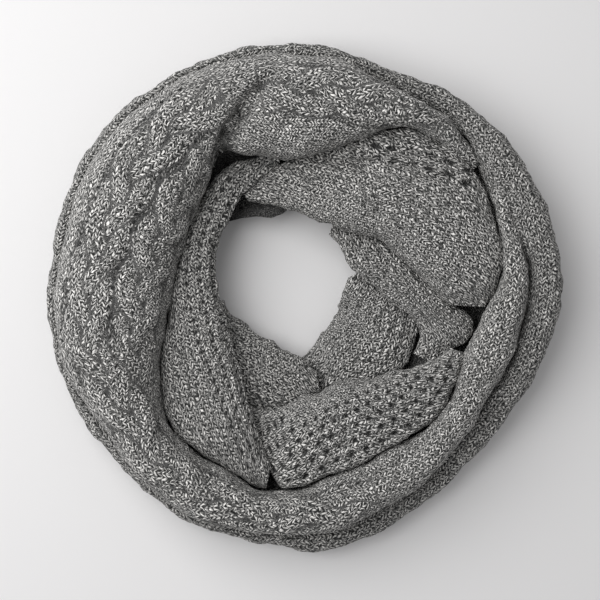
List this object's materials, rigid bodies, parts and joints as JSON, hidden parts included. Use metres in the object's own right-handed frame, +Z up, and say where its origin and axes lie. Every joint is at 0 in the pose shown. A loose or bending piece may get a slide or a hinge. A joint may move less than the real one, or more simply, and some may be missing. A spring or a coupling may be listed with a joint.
{
  "type": "infinity scarf",
  "caption": "Cable-knit infinity scarf in marled grey yarn, doubled into two turns and laid down flat as a thick soft ring with an open middle.",
  "frame": {"origin": "on the floor under the middle of the laid-down ring: the centre of the bottom of its bounding box", "axes": "+Z is up, +X is to the right and +Y towards the top of the picture, which looks straight down on the scarf"},
  "size_m": [0.4058, 0.4034, 0.0889],
  "materials": {
    "marled_cable_knit": "matt marled grey yarn, knitted in raised cables",
    "marled_rib_knit": "matt marled grey yarn, knitted in ribs and plain rows",
    "marled_outer_knit": "the same marled grey yarn on the lower, outer turn, a little darker",
    "marled_eyelet_knit": "matt marled grey yarn, knitted with rows of small eyelets",
    "hidden_knit": "matt grey yarn, seen only in the gaps between the turns"
  },
  "bodies": {
    "root": {"upper_turn": "marled_cable_knit", "lower_turn": "marled_outer_knit", "inner_fold": "marled_rib_knit", "eyelet_fold": "marled_eyelet_knit", "crossing_turn": "marled_eyelet_knit", "under_fold": "marled_rib_knit", "lower_fold": "marled_rib_knit", "inner_lip": "marled_rib_knit", "hidden_layers": "hidden_knit"}
  },
  "joints": []
}
